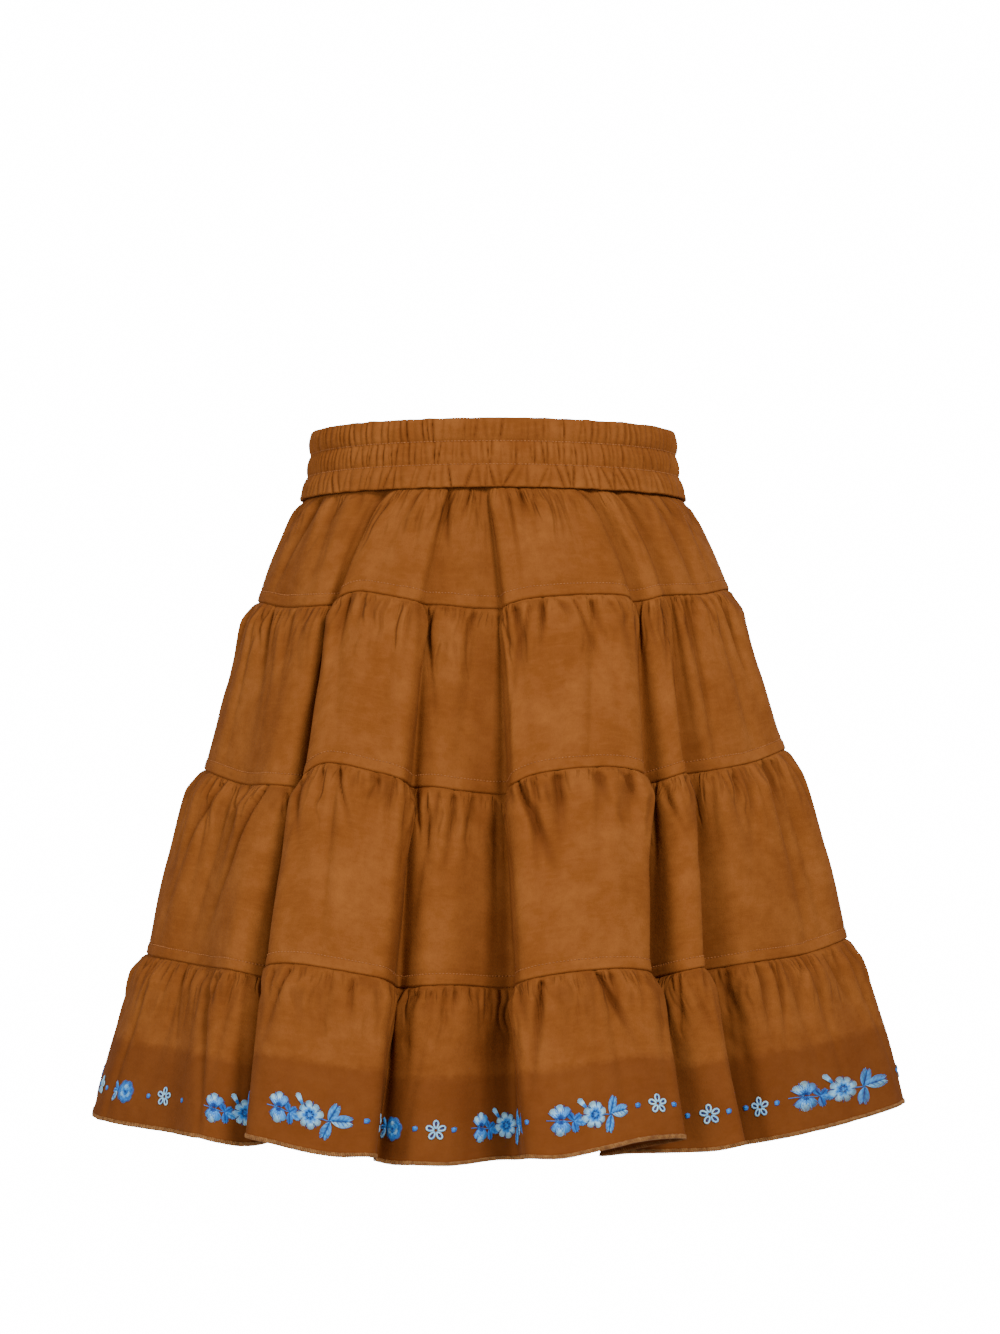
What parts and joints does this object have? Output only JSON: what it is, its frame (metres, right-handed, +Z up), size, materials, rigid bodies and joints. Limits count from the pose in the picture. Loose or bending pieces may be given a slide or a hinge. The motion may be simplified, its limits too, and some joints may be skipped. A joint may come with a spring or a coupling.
{
  "type": "tiered skirt",
  "caption": "Short flared tiered skirt with an elastic waistband, gathered tiers and a flower border at the hem, filled out as it is worn.",
  "frame": {"origin": "on the axis of the waist, halfway up the elastic waistband, where the wearer's waist holds the skirt up", "axes": "+Z up, the front faces -Y, +X is to the right of someone looking at the front"},
  "size_m": [0.5505, 0.467, 0.4813],
  "materials": {
    "waistband_cloth": "matte",
    "tier_cloth": "matte",
    "sewing_thread": "satin",
    "embroidery_thread": "satin"
  },
  "bodies": {
    "root": {"waistband_front": "waistband_cloth", "waistband_back": "waistband_cloth", "tier_1_front": "tier_cloth", "tier_1_back": "tier_cloth", "tier_2_front": "tier_cloth", "tier_2_back": "tier_cloth", "tier_3_front": "tier_cloth", "tier_3_back": "tier_cloth", "tier_4_front": "tier_cloth", "tier_4_back": "tier_cloth"}
  },
  "joints": []
}
